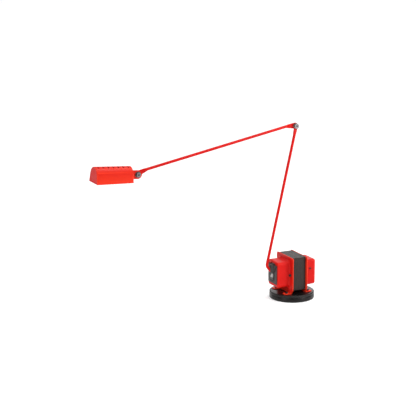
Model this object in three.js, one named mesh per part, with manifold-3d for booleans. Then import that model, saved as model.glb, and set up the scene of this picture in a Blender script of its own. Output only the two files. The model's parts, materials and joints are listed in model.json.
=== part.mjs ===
// Architect desk lamp: a bare transformer with folded covers on a round base disc, and two thin
// arms that carry a small tunnel-shaped shade. Millimetres, +Z up. The origin is the centre of
// the base pad's underside. The shade reaches out along -X, and the switch is on the -X side.
import * as THREE from 'three';
import { mergeVertices } from 'three/addons/utils/BufferGeometryUtils.js';
import Module from 'manifold-3d';

const wasm = await Module();
wasm.setup();

// ---- driving dimensions ----
const gap = 0.3; // between pieces that touch
const clearance = 0.35; // between a hole and what turns in it

const disc = { radius: 52.5, top: 16.8, edge: 2.6, lip: 0.6, chamfer: 0.8, padRadius: 50, padTop: 1.2 };

// an EI 78 lamination stands on its short back: 65 in Y, 78 in Z
const core = { halfX: 17.5, halfY: 32.5, halfZ: 39, midZ: 63.9, leg: 13, window: 26 };
const bolt = { y: 28.5, z: 61.5, shank: 2, hole: 2.3, head: 3.2, headHeight: 3, nut: 3.8 };
const key = { radius: 1.7, depth: 1.6 }; // the hexagon sockets in the screws of the base

const coil = { halfX: 27.8, halfZ: 24.2, halfY: 18.9, wall: 1, flange: 1.2, flangeX: 29, flangeZ: 25 };

const sheet = 1.5; // cover sheet thickness
const flange = { halfY: 39.5, top: 103.5, corner: 4.5, cutZ: 27.6, footY: 33, outer: 19.3 };
const foot = { bottom: 17.1, out: 36.5, yIn: 18.5, corner: 5, screwX: 28, screwY: 26, screwHeight: 2.2 };
const switchBox = { out: 50.6, halfY: 24, low: 32.5, high: 93.2, corner: 6, edge: 1.4 };
const rearBox = { out: 50.3, halfY: 24, low: 30.8, high: 92, corner: 6, edge: 2 };
const inlet = { y: 12, z: 46, bore: 3.6, neck: 4.9, collar: 6.6 };
const sideScrew = { x: 34.7, z: 70.9, head: 2.2, headHeight: 1.6, shank: 1.25, key: 1 };
const sideBoss = { radius: 3.2, end: 6 };

const panel = { back: -50.9, face: -52.1, halfY: 20.5, low: 40, high: 86, corner: 3 };
const wing = { radius: 17.5, front: -54.6 };
const turret = { x: -50.2, radius: 10.4, low: 67, high: 86, round: 3, edge: 0.8, slot: 3.7, pin: 1.5 };
const turretHole = { halfY: turret.radius + 0.4, low: turret.low - 2.1, high: turret.high + 2.4 };
const tongue = { half: 3.4, thick: 1.5, halfY: 9 };
const rocker = { x: -49, z: 54.8, halfZ: 7.7, halfY: 5.2, peak: 5.8, shoulder: 3.2, back: 1.8, axle: 1 };
const housing = { halfY: 6.4, halfZ: 9.05, rimY: 7.5, rimZ: 9.9, wellY: 5.5, wellZ: 8.35, wellBack: -46 };
const housingX = { front: -53.4, back: -38.5 };
const switchHole = { halfY: housing.halfY + gap, halfZ: housing.halfZ + gap };
const terminal = { pitch: 4.8, halfY: 2.4, halfThick: 0.4, length: 7 };

const tube = { radius: 3.25 };
const elbow = { x: 3.9, z: 407.5 };
const head = { x: -391.8, z: 332.2, noseUp: 4.25 };
const lowerLean = 12.83; // degrees from upright
const lowerOffset = 2.4; // from the elbow bolt to the lower tube's centre line, across the tube
const hook = { top: 88.6, radius: 13, bend: 60, tail: 8, eye: 3.8, halfY: 3.2, leanBack: 5 };
const armPin = { radius: 1.5, halfY: 6.2 };
const upperOffset = 5; // tube centre line above the line between its two bolts
const tubeInset = 10.5; // the tubes stop this far short of a bolt
const knuckle = { inner: 0.7, outer: 3.2, washer: 1.2, bolt: 2.8, shank: 2, hole: 2.3, key: 2.6 };
const lobe = { radius: 7.5, taper: 25 }; // the plate ends of the upper arm
const tip = { radius: 4.9, taper: 12 }; // the plate end of the lower arm

const shade = { rear: -17.5, length: 86.2, top: 18.9, wall: 1, cap: 2.2, edge: 0.5 };
const rim = { front: -16.8, rear: -14.5 }; // the open bottom rises a little towards the rear
const arch = { radius: 20, flare: 11 }; // the shade's round roof, and how far its walls lean out
const tieRod = { y: 12, z: 9.2, radius: 1.4 };
const trough = { halfY: 18.8, focal: 4.91, vertex: 4.5, thick: 0.8 };
const vents = { count: 7, pitch: 11.7, width: 2.4, halfY: 9, drop: 5 };
const ear = { radius: 9.8, boss: 8.5, bossDepth: 3 };
const bulb = { radius: 5.75, z: -2.8, rear: -45, tip: -81.7, pinY: 3.2, pin: 0.8 };
const socket = { halfY: 8, halfZ: 5, setBack: 7, overlap: 1.5 };
const shelf = { low: 7.3, thick: 1.4, drop: 6 };
const rivet = { shank: 2, head: 4.2, headDepth: 2 };

// ---- paints and bare materials ----
const paint = { color: 0xe32a20, roughness: 0.42, metalness: 0 };
const blackPlastic = { color: 0x2c2827, roughness: 0.5, metalness: 0 };
const steel = { color: 0x9c9494, roughness: 0.35, metalness: 1 };
const looks = {
  paint,
  blackPlastic,
  steel,
  blackSteel: { color: 0x332e2d, roughness: 0.4, metalness: 1 },
  castIron: { color: 0x1d1b1b, roughness: 0.3, metalness: 0.2 },
  rubber: { color: 0x151515, roughness: 0.9, metalness: 0 },
  lamination: { color: 0x3a3532, roughness: 0.55, metalness: 0.3 },
  copper: { color: 0xb06a3c, roughness: 0.4, metalness: 1 },
  nylon: { color: 0xd8d2c2, roughness: 0.6, metalness: 0 },
  rockerGrey: { color: 0x8c8684, roughness: 0.45, metalness: 0 },
  brass: { color: 0xb9975a, roughness: 0.35, metalness: 1 },
  fibre: { color: 0x3c332c, roughness: 0.8, metalness: 0 },
  mirrorAluminium: { color: 0xd8d8d8, roughness: 0.15, metalness: 1 },
  ceramic: { color: 0xe8e3d8, roughness: 0.5, metalness: 0 },
  glass: { color: 0xdfe8ea, roughness: 0.05, metalness: 0 },
};

const group = new THREE.Group();
const headGroup = new THREE.Group(); // its origin is the head bolt, with the shade's length along X
const upperGroup = new THREE.Group(); // its origin is the elbow bolt, with the head bolt along -X
group.add(headGroup, upperGroup);

const reach = Math.hypot(elbow.x - head.x, elbow.z - head.z);
upperGroup.position.set(elbow.x, 0, elbow.z);
upperGroup.rotation.y = -Math.atan2(elbow.z - head.z, elbow.x - head.x);
headGroup.position.set(head.x, 0, head.z);
headGroup.rotation.y = THREE.MathUtils.degToRad(head.noseUp);

// ---- solids ----
function solid(geometry) {
  geometry.deleteAttribute('normal');
  geometry.deleteAttribute('uv');
  const merged = mergeVertices(geometry, 1e-4);
  const vertProperties = new Float32Array(merged.attributes.position.array);
  const triVerts = new Uint32Array(merged.index.array);
  return new wasm.Manifold(new wasm.Mesh({ numProp: 3, vertProperties, triVerts }));
}

function addMesh(name, body, look, parent = group) {
  const { numProp, vertProperties, triVerts } = body.getMesh();
  const geometry = new THREE.BufferGeometry();
  const buffer = new THREE.InterleavedBuffer(vertProperties, numProp);
  geometry.setAttribute('position', new THREE.InterleavedBufferAttribute(buffer, 3, 0));
  geometry.setIndex(new THREE.BufferAttribute(triVerts, 1));
  const mesh = new THREE.Mesh(geometry, new THREE.MeshStandardMaterial(looks[look]));
  mesh.name = name;
  parent.add(mesh);
}

const basis = {
  // where a shape's own x, y and its extrusion go
  x: new THREE.Matrix4().makeBasis(vector(0, 1, 0), vector(0, 0, 1), vector(1, 0, 0)),
  y: new THREE.Matrix4().makeBasis(vector(0, 0, 1), vector(1, 0, 0), vector(0, 1, 0)),
  z: new THREE.Matrix4(),
};

function vector(x, y, z) {
  return new THREE.Vector3(x, y, z);
}

// A shape drawn in the plane across an axis, and pushed from low to high along it.
// Across X a shape's x and y are Y and Z, across Y they are Z and X, and across Z X and Y.
function extrude(shape, axis, low, high, bevel = 0, curveSegments = 4) {
  const options = {
    depth: high - low - 2 * bevel,
    bevelEnabled: bevel > 0,
    bevelThickness: bevel,
    bevelSize: bevel,
    bevelOffset: -bevel,
    bevelSegments: 1,
    curveSegments,
  };
  const geometry = new THREE.ExtrudeGeometry(shape, options);
  geometry.translate(0, 0, low + bevel);
  return solid(geometry.applyMatrix4(basis[axis]));
}

function polygon(points) {
  return new THREE.Shape(points.map(([x, y]) => new THREE.Vector2(x, y)));
}

function rectangle(x0, y0, x1, y1, r = 0) {
  if (r === 0) return polygon([[x0, y0], [x1, y0], [x1, y1], [x0, y1]]);
  const shape = new THREE.Shape();
  shape.absarc(x1 - r, y0 + r, r, -Math.PI / 2, 0);
  shape.absarc(x1 - r, y1 - r, r, 0, Math.PI / 2);
  shape.absarc(x0 + r, y1 - r, r, Math.PI / 2, Math.PI);
  shape.absarc(x0 + r, y0 + r, r, Math.PI, 1.5 * Math.PI);
  return shape;
}

function circle(x, y, r, sides = 24) {
  const points = [];
  for (let i = 0; i < sides; i += 1) {
    const angle = (2 * Math.PI * i) / sides;
    points.push([x + r * Math.cos(angle), y + r * Math.sin(angle)]);
  }
  return polygon(points);
}

// A band that wraps two circles, as a link plate's outline does.
function link(a, b) {
  const away = Math.atan2(b.y - a.y, b.x - a.x);
  const spread = Math.acos((a.r - b.r) / Math.hypot(b.x - a.x, b.y - a.y));
  const shape = new THREE.Shape();
  shape.absarc(b.x, b.y, b.r, away - spread, away + spread);
  shape.absarc(a.x, a.y, a.r, away + spread, away + 2 * Math.PI - spread);
  return shape;
}

function rod(axis, across, r, low, high, sides = 24) {
  return extrude(circle(across[0], across[1], r, sides), axis, low, high);
}

function box(x0, y0, z0, x1, y1, z1) {
  return extrude(rectangle(x0, y0, x1, y1), 'z', z0, z1);
}

function lathe(points, segments) {
  const geometry = new THREE.LatheGeometry(points.map(([r, z]) => new THREE.Vector2(r, z)), segments);
  return solid(geometry.rotateX(Math.PI / 2));
}

function arcPoints(cx, cy, r, from, to, steps) {
  const points = [];
  for (let i = 0; i <= steps; i += 1) {
    const angle = THREE.MathUtils.degToRad(from + ((to - from) * i) / steps);
    points.push([cx + r * Math.cos(angle), cy + r * Math.sin(angle)]);
  }
  return points;
}

function bothSides(make) {
  [-1, 1].forEach((side) => make(side));
}

// ---- base disc ----
function makeDisc() {
  const { radius, top, edge, lip, chamfer, padRadius, padTop } = disc;
  addMesh('base_pad', lathe([[0, 0], [padRadius, 0], [padRadius, padTop], [0, padTop]], 40), 'rubber');
  const profile = [[0, padTop + gap], [padRadius + gap, padTop + gap], [padRadius + gap, lip]];
  profile.push([radius - chamfer, lip], [radius, lip + chamfer]);
  profile.push(...arcPoints(radius - edge, top - edge, edge, 0, 90, 3), [0, top]);
  let body = lathe(profile, 48);
  bothSides((sx) => bothSides((sy) => {
    body = body.subtract(rod('z', [sx * foot.screwX, sy * foot.screwY], bolt.hole, 7, top + 1, 12));
  }));
  addMesh('base_disc', body, 'castIron');
}

// ---- transformer ----
function coreBore(side) {
  return rod('x', [side * bolt.y, bolt.z], bolt.hole, -core.halfX - 9, core.halfX + 9, 16);
}

function makeCore() {
  const { halfX, halfY, halfZ, midZ, leg, window } = core;
  const root = halfY - leg; // where the legs leave the back of the E
  const tip = -root + gap / 2;
  const points = [[halfY, -halfZ], [halfY, halfZ], [tip, halfZ], [tip, window], [root, window]];
  points.push([root, leg], [tip, leg], [tip, -leg], [root, -leg], [root, -window]);
  points.push([tip, -window], [tip, -halfZ]);
  const outline = polygon(points.map(([y, z]) => [y, z + midZ]));
  addMesh('core_e_stack', extrude(outline, 'x', -halfX, halfX).subtract(coreBore(1)), 'lamination');
  const bar = rectangle(-halfY, midZ - halfZ, -root - gap / 2, midZ + halfZ);
  addMesh('core_i_stack', extrude(bar, 'x', -halfX, halfX).subtract(coreBore(-1)), 'lamination');
}

function ring(halfX, halfZ, corner, hollowX, hollowZ, low, high) {
  const outer = rectangle(core.midZ - halfZ, -halfX, core.midZ + halfZ, halfX, corner);
  const inner = rectangle(core.midZ - hollowZ, -hollowX, core.midZ + hollowZ, hollowX);
  return extrude(outer, 'y', low, high, 0, 3).subtract(extrude(inner, 'y', low - 1, high + 1));
}

function makeCoil() {
  const { wall, halfY } = coil;
  const boreX = core.halfX + gap;
  const boreZ = core.leg + gap;
  let bobbin = ring(boreX + wall, boreZ + wall, 1, boreX, boreZ, -halfY, halfY);
  [-halfY, -coil.flange / 2, halfY - coil.flange].forEach((y) => {
    bobbin = bobbin.add(ring(coil.flangeX, coil.flangeZ, 2, boreX, boreZ, y, y + coil.flange));
  });
  addMesh('coil_bobbin', bobbin, 'nylon');
  const hollow = [boreX + wall + gap, boreZ + wall + gap];
  const near = coil.flange / 2 + gap;
  const far = halfY - coil.flange - gap;
  addMesh('primary_winding', ring(coil.halfX, coil.halfZ, 5, ...hollow, -far, -near), 'copper');
  addMesh('secondary_winding', ring(coil.halfX, coil.halfZ, 5, ...hollow, near, far), 'copper');
}

function makeCoreBolts() {
  const names = { '-1': 'front', 1: 'back' };
  bothSides((side) => {
    const at = [side * bolt.y, bolt.z];
    const seat = flange.outer + gap;
    const end = seat + bolt.headHeight + 1;
    const headTop = -seat - bolt.headHeight;
    let screw = rod('x', at, bolt.head, headTop, -seat, 20);
    screw = screw.add(rod('x', at, bolt.shank, -seat - 0.1, end, 12));
    const hexagon = rod('x', at, key.radius, headTop - 1, headTop + key.depth, 6);
    addMesh(`core_bolt_${names[side]}`, screw.subtract(hexagon), 'blackSteel');
    const nut = rod('x', at, bolt.nut, seat, seat + bolt.headHeight, 6);
    const bore = rod('x', at, bolt.hole, seat - 1, end + 1, 12);
    addMesh(`core_nut_${names[side]}`, nut.subtract(bore), 'blackSteel');
  });
}

// ---- folded covers: a flange with two feet, and a box over the coil ----
function coverBlank(side, boxSize) {
  const { halfY, top, corner, cutZ, footY, outer } = flange;
  const inner = core.halfX + gap;
  const outline = new THREE.Shape();
  outline.moveTo(-footY, foot.bottom);
  outline.lineTo(footY, foot.bottom);
  outline.lineTo(halfY, cutZ);
  outline.absarc(halfY - corner, top - corner, corner, 0, Math.PI / 2);
  outline.absarc(corner - halfY, top - corner, corner, Math.PI / 2, Math.PI);
  outline.lineTo(-halfY, cutZ);
  const along = (near, far) => (side > 0 ? ['x', near, far] : ['x', -far, -near]);
  let body = extrude(outline, ...along(inner, outer));
  bothSides((end) => {
    const ys = [end * foot.yIn, end * footY].sort((a, b) => a - b);
    const xs = [side * inner, side * foot.out].sort((a, b) => a - b);
    const tabShape = rectangle(xs[0], ys[0], xs[1], ys[1], foot.corner);
    const tab = extrude(tabShape, 'z', foot.bottom, foot.bottom + sheet);
    body = body.add(tab.subtract(box(-inner, ys[0], 0, inner, ys[1], 30)));
    body = body.subtract(rod('z', [side * foot.screwX, end * foot.screwY], bolt.hole, 10, 25, 12));
    body = body.subtract(coreBore(end));
  });
  const { out, halfY: wide, low, high, corner: round, edge } = boxSize;
  const shell = extrude(rectangle(-wide, low, wide, high, round), ...along(inner, out), edge);
  const root = extrude(rectangle(-wide, low, wide, high, round), ...along(inner, outer + 3));
  const hollow = rectangle(sheet - wide, low + sheet, wide - sheet, high - sheet, round - sheet);
  return body.add(shell).add(root).subtract(extrude(hollow, ...along(inner - 1, out - sheet)));
}

function switchHoleShape() {
  const { halfY, halfZ } = switchHole;
  return rectangle(-halfY, rocker.z - halfZ, halfY, rocker.z + halfZ);
}

function makeSwitchCover() {
  const front = [-switchBox.out - 1, sheet - switchBox.out + 0.5];
  const { halfY, low, high } = turretHole;
  const slot = rectangle(-halfY, low, halfY, high, 1);
  const body = coverBlank(-1, switchBox).subtract(extrude(slot, 'x', ...front));
  addMesh('switch_cover', body.subtract(extrude(switchHoleShape(), 'x', ...front)), 'paint');
}

function makeRearCover() {
  const { y, z, bore, neck, collar } = inlet;
  const wallIn = rearBox.out - sheet;
  let body = coverBlank(1, rearBox).subtract(rod('x', [y, z], neck + gap, wallIn - 1, rearBox.out + 1));
  const { shank: screwShank, headHeight } = sideScrew;
  const at = [sideScrew.z, sideScrew.x];
  const wallFront = -rearBox.halfY;
  const bossEnd = wallFront + sideBoss.end;
  const post = rod('y', at, sideBoss.radius, wallFront + sheet - 0.2, bossEnd, 16);
  const hole = rod('y', at, screwShank + gap, wallFront - 1, bossEnd - 1, 12);
  body = body.add(post).subtract(hole);
  addMesh('rear_cover', body, 'paint');
  const outer = [[bore, wallIn - 2], [collar, wallIn - 2], [collar, wallIn - gap], [neck, wallIn - gap]];
  outer.push([neck, rearBox.out + gap], [collar, rearBox.out + gap], [collar - 1, rearBox.out + 3]);
  outer.push([bore, rearBox.out + 3], [bore, wallIn - 2]);
  const profile = outer.map(([r, x]) => new THREE.Vector2(r, x));
  const geometry = new THREE.LatheGeometry(profile, 24).rotateX(Math.PI / 2).rotateY(Math.PI / 2);
  addMesh('cord_grommet', solid(geometry.translate(0, y, z)), 'rubber');
  const seat = wallFront - gap;
  const screw = rod('y', at, sideScrew.head, seat - headHeight, seat, 16);
  const shank = rod('y', at, screwShank, seat - 0.1, bossEnd - 1.4, 12);
  const hexagon = rod('y', at, sideScrew.key, seat - headHeight - 1, seat - 0.6, 6);
  addMesh('cover_side_screw', screw.add(shank).subtract(hexagon), 'blackSteel');
}

function makeFootScrews() {
  let number = 1;
  bothSides((sx) => bothSides((sy) => {
    const at = [sx * foot.screwX, sy * foot.screwY];
    const seat = foot.bottom + sheet + gap;
    const top = seat + foot.screwHeight;
    const shank = rod('z', at, bolt.shank, 8, seat + 0.1, 12);
    const hexagon = rod('z', at, key.radius, seat + 0.9, top + 1, 6);
    const screw = rod('z', at, bolt.head, seat, top, 20).add(shank).subtract(hexagon);
    addMesh(`foot_screw_${number}`, screw, 'blackSteel');
    number += 1;
  }));
}

// ---- switch panel, rocker switch ----
function makePanel() {
  const { back, face, halfY, low, high, corner } = panel;
  const plate = extrude(rectangle(-halfY, low, halfY, high, corner), 'x', face, back);
  let wings = rod('x', [0, high], wing.radius, wing.front, face + 0.2, 40);
  wings = wings.subtract(box(wing.front - 1, -30, high, back, 30, high + 30));
  const { halfY: slotY, low: notchLow } = turretHole;
  const slot = rectangle(-slotY, turret.low - 0.6, slotY, high + wing.radius + 1, 0.6);
  const notch = rectangle(-tongue.half - gap, notchLow, tongue.half + gap, turret.low);
  const through = [wing.front - 1, back + 1];
  const cuts = [slot, notch, switchHoleShape()].map((shape) => extrude(shape, 'x', ...through));
  const body = cuts.reduce((left, cut) => left.subtract(cut), plate.add(wings));
  addMesh('switch_panel', body, 'blackPlastic');
}

function makeSwitch() {
  const { halfY, halfZ, rimY, rimZ, wellY, wellZ, wellBack } = housing;
  const { front, back } = housingX;
  const { x, z, axle } = rocker;
  const bezel = extrude(rectangle(-rimY, z - rimZ, rimY, z + rimZ, 1), 'x', front, panel.face - gap);
  const boxBody = extrude(rectangle(-halfY, z - halfZ, halfY, z + halfZ), 'x', front + 0.5, back);
  const well = extrude(rectangle(-wellY, z - wellZ, wellY, z + wellZ), 'x', front - 1, wellBack);
  const axleHole = rod('y', [z, x], axle + gap, -halfY - 1, halfY + 1, 12);
  addMesh('switch_body', bezel.add(boxBody).subtract(well).subtract(axleHole), 'blackPlastic');
  addMesh('rocker_axle', rod('y', [z, x], axle, -halfY, halfY, 12), 'steel');
  const outline = [[z - rocker.halfZ, x + rocker.back], [z + rocker.halfZ, x + rocker.back]];
  outline.push([z + rocker.halfZ, x - rocker.shoulder], [z, x - rocker.peak]);
  outline.push([z - rocker.halfZ, x - rocker.shoulder]);
  const paddle = extrude(polygon(outline), 'y', -rocker.halfY, rocker.halfY, 0.4);
  const bore = rod('y', [z, x], axle + clearance, -halfY, halfY, 12);
  addMesh('switch_rocker', paddle.subtract(bore), 'rockerGrey');
  const { pitch, halfY: wide, halfThick, length } = terminal;
  [-1, 0, 1].forEach((place, i) => {
    const mid = z + pitch * place;
    const blade = box(back + gap, -wide, mid - halfThick, back + length, wide, mid + halfThick);
    addMesh(`switch_terminal_${i + 1}`, blade, 'brass');
  });
}

// ---- swivel turret, with a slot for the hooked end of the lower arm ----
const lean = THREE.MathUtils.degToRad(lowerLean);
const bend = THREE.MathUtils.degToRad(hook.bend);
const armDown = vector(-Math.sin(lean), 0, -Math.cos(lean));
const tailDown = vector(-Math.sin(lean - bend), 0, -Math.cos(lean - bend));
const armSide = vector(Math.cos(lean), 0, -Math.sin(lean));
const lowerStart = vector(elbow.x, 0, elbow.z).addScaledVector(armSide, lowerOffset); // level with the bolt
const bendTop = lowerStart.clone().addScaledVector(armDown, (lowerStart.z - hook.top) / Math.cos(lean));
const bendCentre = bendTop.clone().addScaledVector(armSide, hook.radius);
const bendEnd = bendPoint(bend);
const pivot = bendEnd.clone().addScaledVector(tailDown, hook.tail);

function bendPoint(angle, radius = hook.radius) {
  const out = vector(-Math.cos(lean - angle), 0, Math.sin(lean - angle));
  return bendCentre.clone().addScaledVector(out, radius);
}

function makeTurret() {
  const { x, radius, low, high, round, edge, slot, pin } = turret;
  const profile = [[0, low], ...arcPoints(radius - round, low + round, round, -90, 0, 3)];
  profile.push([radius, high - edge], [radius - edge, high], [0, high]);
  let body = lathe(profile, 40).translate([x, 0, 0]);
  body = body.subtract(rod('z', [x, 0], pin + clearance, low - 1, high + 1, 12));
  const room = hook.radius - tube.radius - clearance;
  const back = THREE.MathUtils.degToRad(hook.leanBack);
  const inner = [0, 0.25, 0.5, 0.75, 1].map((part) => {
    const arm = bendPoint(part * bend, room).sub(pivot).applyAxisAngle(vector(0, 1, 0), back).add(pivot);
    return [arm.z, arm.x];
  });
  const eyeRoom = hook.eye + clearance;
  const turned = 90 - hook.bend + lowerLean + hook.leanBack;
  const heel = arcPoints(pivot.z, pivot.x, eyeRoom, turned, 180, 4);
  const ahead = x - 2 * radius;
  const outline = [[inner[0][0], ahead], ...inner, ...heel, [pivot.z - eyeRoom, ahead]];
  body = body.subtract(extrude(polygon(outline), 'y', -slot, slot));
  const pinHole = [pivot.z, pivot.x];
  body = body.subtract(rod('y', pinHole, armPin.radius + gap, -radius, radius, 12));
  addMesh('swivel_turret', body, 'blackPlastic');
  addMesh('arm_pivot_pin', rod('y', pinHole, armPin.radius, -armPin.halfY, armPin.halfY, 12), 'steel');
}

function makePivotBracket() {
  const { half, thick, halfY } = tongue;
  const { x, low, high, pin } = turret;
  const wallBack = sheet - switchBox.out + gap;
  const rear = x + turret.radius + 0.6;
  let bracket = box(rear, -halfY, low - gap - thick, rear + thick, halfY, high + gap + thick);
  [low - gap - thick, high + gap].forEach((z) => {
    bracket = bracket.add(box(wallBack, -halfY, z, rear + 0.2, halfY, z + thick));
    const reachOut = link({ x: wallBack + half, y: 0, r: half }, { x, y: 0, r: half });
    bracket = bracket.add(extrude(reachOut, 'z', z, z + thick));
  });
  bracket = bracket.subtract(rod('z', [x, 0], pin + gap, low - 9, high + 9, 12));
  addMesh('pivot_bracket', bracket, 'steel');
  addMesh('turret_pin', rod('z', [x, 0], pin, low - gap - thick + 0.1, high + gap + thick, 12), 'steel');
}

// ---- arms ----
class Bend extends THREE.Curve {
  getPoint(t) {
    return bendPoint(t * bend);
  }
}

function straight(from, to, radius, sides = 16) {
  const length = from.distanceTo(to);
  const geometry = new THREE.CylinderGeometry(radius, radius, length, sides);
  const turn = new THREE.Quaternion().setFromUnitVectors(vector(0, 1, 0), to.clone().sub(from).normalize());
  const middle = from.clone().add(to).multiplyScalar(0.5);
  return solid(geometry.applyQuaternion(turn).translate(middle.x, 0, middle.z));
}

function makeLowerArm() {
  const { inner, outer, hole } = knuckle;
  const overlap = 0.4;
  const tubeTop = lowerStart.clone().addScaledVector(armDown, tubeInset);
  const start = bendTop.clone().addScaledVector(armDown, overlap);
  const tailTop = bendEnd.clone().addScaledVector(tailDown, -overlap);
  const section = circle(0, 0, tube.radius, 16);
  const curved = new THREE.ExtrudeGeometry(section, { steps: 8, extrudePath: new Bend() });
  let body = solid(curved).add(straight(start, tubeTop, tube.radius));
  body = body.add(straight(tailTop, pivot, tube.radius));
  const eyeAt = [pivot.z, pivot.x];
  body = body.add(rod('y', eyeAt, hook.eye, -hook.halfY, hook.halfY));
  body = body.subtract(rod('y', eyeAt, armPin.radius + clearance, -hook.halfY - 1, hook.halfY + 1, 12));
  const weld = tubeTop.clone().addScaledVector(armDown, tip.taper);
  const plate = link({ x: elbow.z, y: elbow.x, r: tip.radius }, { x: weld.z, y: weld.x, r: tube.radius });
  body = body.add(extrude(plate, 'y', -outer, -inner));
  body = body.subtract(rod('y', [elbow.z, elbow.x], hole, -outer - 1, outer + 1, 12));
  addMesh('lower_arm', body, 'paint');
}

function makeUpperArm() {
  const { inner, outer, hole } = knuckle;
  const near = vector(-tubeInset, 0, upperOffset);
  const far = vector(tubeInset - reach, 0, upperOffset);
  let body = straight(near, far, tube.radius);
  [[0, -1], [-reach, 1]].forEach(([x, inward]) => {
    const weld = { x: upperOffset, y: x + inward * lobe.taper, r: tube.radius };
    body = body.add(extrude(link({ x: 0, y: x, r: lobe.radius }, weld), 'y', inner, outer));
    body = body.subtract(rod('y', [0, x], hole, -outer - 1, outer + 1, 12));
  });
  addMesh('upper_arm', body, 'paint', upperGroup);
}

// A friction joint: the two flat ends clamped between washers by a bolt and a nut.
function makeFrictionJoint(name, headRadius, washerRadius, washerLook, parent) {
  const { inner, outer, washer, bolt: thick, shank, hole } = knuckle;
  const seat = outer + gap;
  const face = seat + washer + gap;
  const disk = (r, low, high, sides = 24) => rod('y', [0, 0], r, low, high, sides);
  const bored = (body) => body.subtract(disk(hole, -20, 20, 12));
  const pieces = {
    washer_front: [bored(disk(washerRadius, -seat - washer, -seat)), washerLook],
    friction_washer: [bored(disk(washerRadius, gap - inner, inner - gap)), 'fibre'],
    washer_back: [bored(disk(washerRadius, seat, seat + washer)), washerLook],
    nut: [bored(disk(headRadius - 0.6, face, face + thick, 6)), 'steel'],
  };
  const screw = disk(headRadius, -face - thick, -face).add(disk(shank, -face - 0.1, face + thick + 0.8, 12));
  const hexagon = disk(knuckle.key, -20, key.depth - face - thick, 6);
  pieces.bolt = [screw.subtract(hexagon), 'steel'];
  Object.entries(pieces).forEach(([piece, [body, look]]) => {
    addMesh(`${name}_${piece}`, body, look, parent);
  });
}

// ---- head ----
function tunnel(inset, low) {
  // walls that lean out to the open bottom, under a round roof that they meet smoothly
  const flare = THREE.MathUtils.degToRad(arch.flare);
  const radius = arch.radius - inset;
  const roofZ = shade.top - arch.radius;
  const springY = radius * Math.cos(flare);
  const springZ = roofZ + radius * Math.sin(flare);
  const halfY = springY + (springZ - low) * Math.tan(flare);
  const shape = new THREE.Shape();
  shape.moveTo(-halfY, low);
  shape.lineTo(halfY, low);
  shape.absarc(0, roofZ, radius, flare, Math.PI - flare);
  return shape;
}

const shadeFront = shade.rear - shade.length;
const roofSegments = 12;

function makeShade() {
  const { rear, wall, cap, edge } = shade;
  const shellRear = rear - cap - gap;
  const shellFront = shadeFront + cap + gap;
  let shell = extrude(tunnel(0, rim.front), 'x', shellFront, shellRear, 0, roofSegments);
  const hollow = extrude(tunnel(wall, rim.front - 1), 'x', shellFront - 1, shellRear + 1, 0, roofSegments);
  const deep = rim.front - 9;
  const under = polygon([[deep, shadeFront], [rim.front, shadeFront], [rim.rear, rear], [deep, rear]]);
  shell = shell.subtract(hollow).subtract(extrude(under, 'y', -2 * arch.radius, 2 * arch.radius));
  const middle = (shellFront + shellRear) / 2;
  for (let i = 0; i < vents.count; i += 1) {
    const x = middle + (i - (vents.count - 1) / 2) * vents.pitch;
    const slot = rectangle(x - vents.width / 2, -vents.halfY, x + vents.width / 2, vents.halfY);
    shell = shell.subtract(extrude(slot, 'z', shade.top - vents.drop, shade.top + 1));
  }
  addMesh('shade_shell', shell, 'paint', headGroup);
  const rivetHole = rod('x', [0, 0], knuckle.hole, rear - 9, rear + 1, 12);
  const plate = (low, from, to) => extrude(tunnel(0, low), 'x', from, to, edge, roofSegments);
  addMesh('shade_front_cap', plate(rim.front, shadeFront, shadeFront + cap), 'paint', headGroup);
  addMesh('shade_rear_cap', plate(rim.rear, rear - cap, rear).subtract(rivetHole), 'paint', headGroup);
  bothSides((side) => {
    const tie = rod('x', [side * tieRod.y, tieRod.z], tieRod.radius, shellFront, shellRear, 10);
    addMesh(`shade_tie_rod_${side < 0 ? 'front' : 'back'}`, tie, 'steel', headGroup);
  });
}

function makeReflector() {
  // a parabolic trough, z = vertex - y * y / (4 * focal)
  const { halfY, focal, vertex, thick } = trough;
  const curve = (inset) => {
    const points = [];
    for (let i = 0; i <= 12; i += 1) {
      const y = (halfY - inset) * (i / 6 - 1);
      points.push([y, vertex - inset - (y * y) / (4 * focal)]);
    }
    return points;
  };
  const outline = polygon([...curve(0), ...curve(thick).reverse()]);
  const front = shadeFront + shade.cap + 1;
  addMesh('reflector', extrude(outline, 'x', front, bulb.rear - 0.5), 'mirrorAluminium', headGroup);
}

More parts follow.
